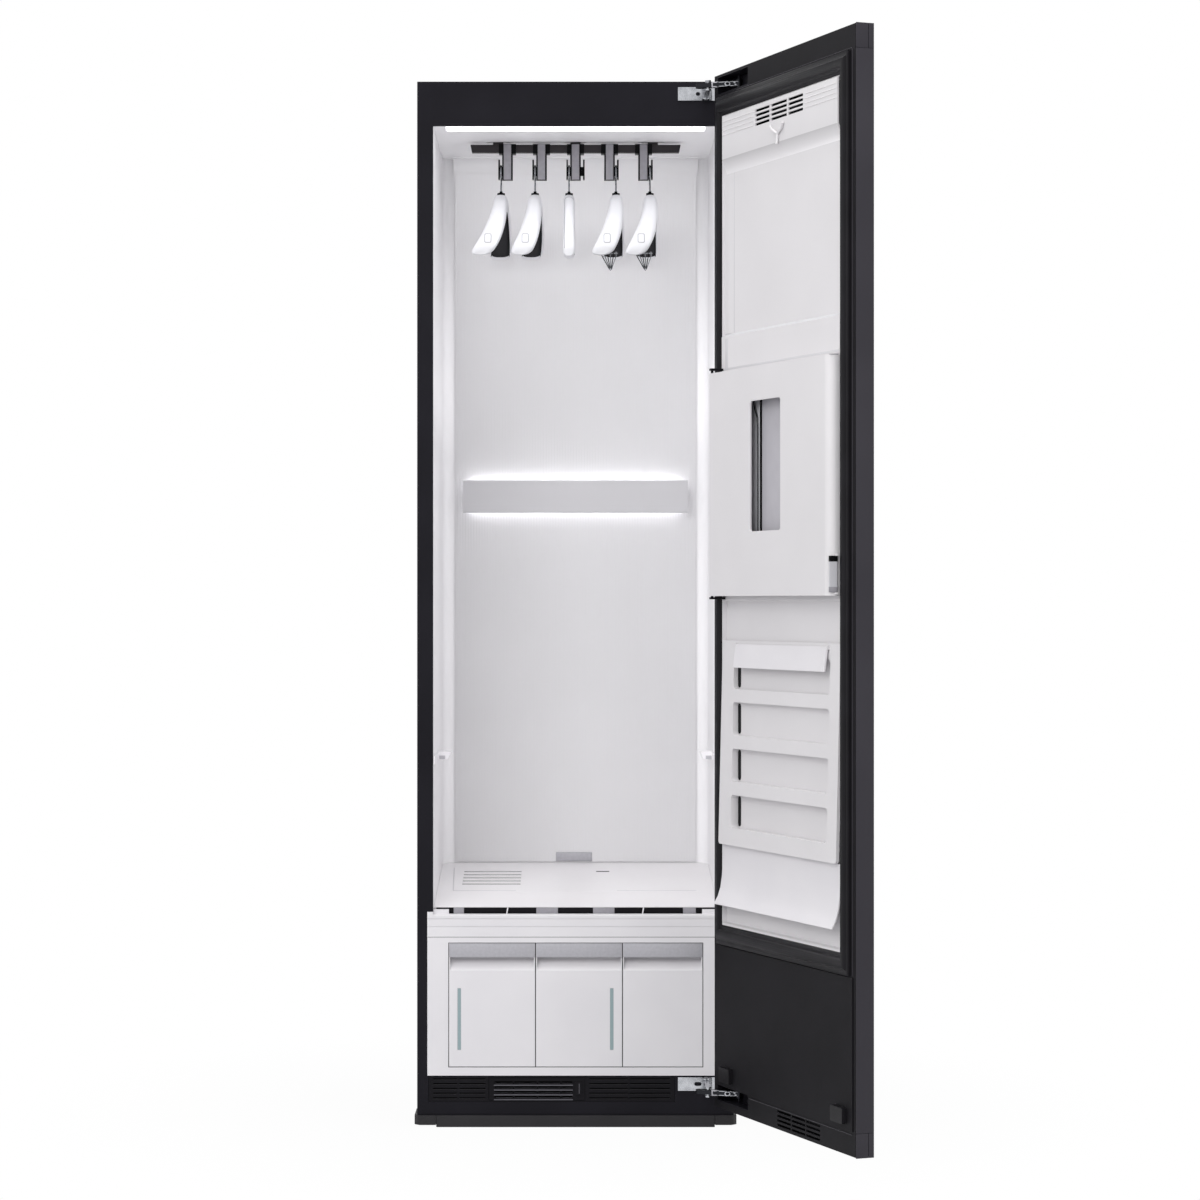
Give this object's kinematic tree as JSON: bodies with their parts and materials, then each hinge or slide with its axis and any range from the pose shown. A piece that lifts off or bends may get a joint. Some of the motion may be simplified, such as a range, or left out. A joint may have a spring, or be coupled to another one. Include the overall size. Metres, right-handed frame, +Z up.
{
  "type": "clothes care steam cabinet",
  "caption": "Tall steam closet for clothes: black casing, lit white cavity with shaking hanger rail, water tank drawers below, door with trouser press on concealed hinges.",
  "frame": {"origin": "on the floor, under the middle of the cabinet's body", "axes": "+Z up, +X to the right seen from the front, front towards -Y; stored with the door open"},
  "size_m": [0.8042, 1.1926, 1.96],
  "materials": {
    "black_coated_steel": "satin",
    "zinc_coated_steel": "satin",
    "black_plastic": "fine grain",
    "white_plastic": "smooth satin",
    "white_drawer_plastic": "smooth satin",
    "white_press_plastic": "smooth satin",
    "press_board": "fine texture",
    "light_diffuser": "frosted",
    "circuit_board": "solder mask",
    "grey_bin_plastic": "translucent smoke",
    "rail_paint": "satin",
    "grey_plastic": "satin",
    "hanger_plastic": "satin",
    "black_rubber": "matt",
    "foot_plastic": "moulded",
    "hinge_steel": "zinc plated",
    "screw_steel": "zinc plated",
    "machine_black": "satin",
    "fin_aluminium": "mill",
    "machine_plastic": "moulded"
  },
  "bodies": {
    "cabinet": {"outer_casing": "black_coated_steel", "back_cover": "zinc_coated_steel", "base_pan": "zinc_coated_steel", "front_frame": "black_coated_steel", "plinth": "black_plastic", "levelling_feet": "foot_plastic", "inner_tub": "white_plastic", "back_wall_panel": "white_plastic", "ceiling_light_lens": "light_diffuser", "light_boards": "circuit_board", "wall_light_cover": "white_plastic", "shelf_supports": "white_plastic", "floor_duct_cover": "white_plastic", "sill": "white_plastic", "lower_fascia": "white_plastic", "tank_bay": "grey_bin_plastic", "kick_grille": "black_plastic", "hinge_plates": "hinge_steel", "hinge_screws": "screw_steel", "compressor": "machine_black", "heat_exchanger": "fin_aluminium", "fan_housing": "machine_plastic", "steam_generator": "machine_plastic", "water_pumps": "machine_plastic", "control_board": "circuit_board", "air_duct": "machine_plastic", "power_inlet": "foot_plastic", "rail_motor": "machine_black"},
    "kick_cover": {"kick_louvre": "black_plastic"},
    "fan": {"fan_wheel": "machine_plastic"},
    "rail": {"hanger_rail": "rail_paint", "rail_holders": "black_plastic", "holder_faces": "grey_plastic"},
    "crank": {"rail_crank": "machine_plastic"},
    "hanger_1": {"hanger_1": "hanger_plastic"},
    "hanger_2": {"hanger_2": "hanger_plastic"},
    "hanger_3": {"hanger_3": "hanger_plastic"},
    "hanger_4": {"hanger_4": "hanger_plastic"},
    "hanger_5": {"hanger_5": "hanger_plastic"},
    "fill_tank": {"fill_tank": "grey_bin_plastic", "fill_tank_front": "white_drawer_plastic"},
    "drain_tank": {"drain_tank": "grey_bin_plastic", "drain_tank_front": "white_drawer_plastic"},
    "accessory_drawer": {"accessory_drawer": "grey_bin_plastic", "accessory_drawer_front": "white_drawer_plastic"},
    "door": {"door_panel": "black_coated_steel", "door_frame": "black_plastic", "door_liner": "white_plastic", "door_gasket": "black_rubber", "door_lower_panel": "black_plastic", "door_bumpers": "black_rubber", "press_plate": "press_board", "trouser_rack": "white_press_plastic", "guide_flap": "white_press_plastic", "hinge_channels": "hinge_steel"},
    "press_door": {"press_cover": "white_press_plastic"},
    "press_catch": {"press_latch": "grey_plastic"},
    "hem_flap": {"rack_flap": "white_press_plastic"},
    "hinge_arm": {"hinge_arms": "hinge_steel"},
    "hinge_link": {"hinge_links": "hinge_steel"}
  },
  "joints": [
    {"name": "door_swing", "type": "hinge", "parent": "cabinet", "child": "door", "pos_m": [0.2983, -0.33175, 1], "axis": [0, 0, 1], "range_deg": [-111, 0]},
    {"name": "hinge_arm_turn", "type": "hinge", "parent": "cabinet", "child": "hinge_arm", "pos_m": [0.2437, -0.2929, 1], "axis": [0, 0, 1], "range_deg": [-94.74, 0.5]},
    {"name": "hinge_link_turn", "type": "hinge", "parent": "door", "child": "hinge_link", "pos_m": [0.30072, -0.39595, 1], "axis": [0, 0, 1], "range_deg": [-0.5, 117.75]},
    {"name": "press_door_swing", "type": "hinge", "parent": "door", "child": "press_door", "pos_m": [0.25063, -0.405, 1.199], "axis": [0, 0, -1], "range_deg": [0, 60]},
    {"name": "press_catch_turn", "type": "hinge", "parent": "press_door", "child": "press_catch", "pos_m": [0.44109, -0.86821, 1.03], "axis": [0, 0, 1], "range_deg": [0, 18]},
    {"name": "hem_flap_lift", "type": "hinge", "parent": "door", "child": "hem_flap", "pos_m": [0.35108, -0.6128, 0.9065], "axis": [-0.3584, 0.9336, 0], "range_deg": [0, 25]},
    {"name": "rail_shake", "type": "slide", "parent": "cabinet", "child": "rail", "axis": [1, 0, 0], "range_m": [-0.01, 0.01]},
    {"name": "crank_turn", "type": "hinge", "parent": "cabinet", "child": "crank", "pos_m": [0, -0.07155, 1.89], "axis": [0, 0, 1], "range_deg": [-60.5, 60.5]},
    {"name": "hanger_1_swing", "type": "hinge", "parent": "rail", "child": "hanger_1", "pos_m": [-0.1445, -0.06, 1.82], "axis": [1, 0, 0], "range_deg": [-8, 8]},
    {"name": "hanger_2_swing", "type": "hinge", "parent": "rail", "child": "hanger_2", "pos_m": [-0.0785, -0.06, 1.82], "axis": [1, 0, 0], "range_deg": [-8, 8]},
    {"name": "hanger_3_swing", "type": "hinge", "parent": "rail", "child": "hanger_3", "pos_m": [-0.0125, -0.06, 1.82], "axis": [1, 0, 0], "range_deg": [-8, 8]},
    {"name": "hanger_4_swing", "type": "hinge", "parent": "rail", "child": "hanger_4", "pos_m": [0.0785, -0.06, 1.82], "axis": [1, 0, 0], "range_deg": [-8, 8]},
    {"name": "hanger_5_swing", "type": "hinge", "parent": "rail", "child": "hanger_5", "pos_m": [0.1445, -0.06, 1.82], "axis": [1, 0, 0], "range_deg": [-8, 8]},
    {"name": "fill_tank_slide", "type": "slide", "parent": "cabinet", "child": "fill_tank", "axis": [0, -1, 0], "range_m": [0, 0.26]},
    {"name": "drain_tank_slide", "type": "slide", "parent": "cabinet", "child": "drain_tank", "axis": [0, -1, 0], "range_m": [0, 0.26]},
    {"name": "accessory_drawer_slide", "type": "slide", "parent": "cabinet", "child": "accessory_drawer", "axis": [0, -1, 0], "range_m": [0, 0.26]},
    {"name": "kick_cover_slide", "type": "slide", "parent": "cabinet", "child": "kick_cover", "axis": [0, -1, 0], "range_m": [0, 0.03]},
    {"name": "fan_spin", "type": "hinge", "parent": "cabinet", "child": "fan", "pos_m": [-0.02, 0.21, 0.27], "axis": [0, 1, 0], "continuous": true}
  ],
  "couplings": [
    {"joint": "hinge_arm_turn", "follows": "door_swing", "ratio": 0.849},
    {"joint": "hinge_link_turn", "follows": "door_swing", "ratio": -1.0563},
    {"joint": "crank_turn", "follows": "rail_shake", "rad_per_m": -104.72}
  ]
}
